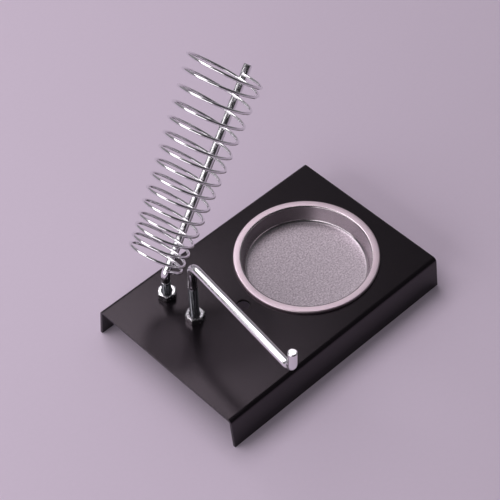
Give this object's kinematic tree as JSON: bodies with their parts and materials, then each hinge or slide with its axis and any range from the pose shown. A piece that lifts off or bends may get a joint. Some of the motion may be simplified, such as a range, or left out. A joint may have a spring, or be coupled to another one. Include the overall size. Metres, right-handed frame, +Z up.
{
  "type": "soldering iron stand",
  "caption": "Folded sheet base with a round sponge tray, a slanted rod carrying a conical wire holder for a hot iron, and a bent rod rest arm.",
  "frame": {"origin": "on the floor under the middle of the whole stand's outline", "axes": "+X along the plate's long side from the posts towards the tray, +Y towards the long side that the holder post is nearer to, +Z up"},
  "size_m": [0.115, 0.1073, 0.1122],
  "materials": {
    "black_powder_coat": "satin black powder coat",
    "tray_metal": "matt pressed steel with a polished rim edge",
    "plated_rod": "bright plated",
    "plated_wire": "bright plated",
    "plated_nut": "bright zinc plated"
  },
  "bodies": {
    "base": {"base_plate": "black_powder_coat"},
    "tray": {"sponge_tray": "tray_metal"},
    "holder": {"holder_post": "plated_rod", "holder_coil": "plated_wire", "holder_top_nut": "plated_nut", "holder_bottom_nut": "plated_nut"},
    "arm": {"rest_arm": "plated_rod", "arm_top_nut": "plated_nut", "arm_bottom_nut": "plated_nut"}
  },
  "joints": [
    {"name": "tray_lift", "type": "slide", "parent": "base", "child": "tray", "axis": [0, 0, 1], "range_m": [0, 0.025]},
    {"name": "holder_swivel", "type": "hinge", "parent": "base", "child": "holder", "pos_m": [-0.0332, 0.028, 0.015], "axis": [0, 0, 1], "range_deg": [-35, 150]},
    {"name": "arm_swivel", "type": "hinge", "parent": "base", "child": "arm", "pos_m": [-0.0332, 0.0114, 0.015], "axis": [0, 0, 1], "range_deg": [-80, 95]}
  ]
}
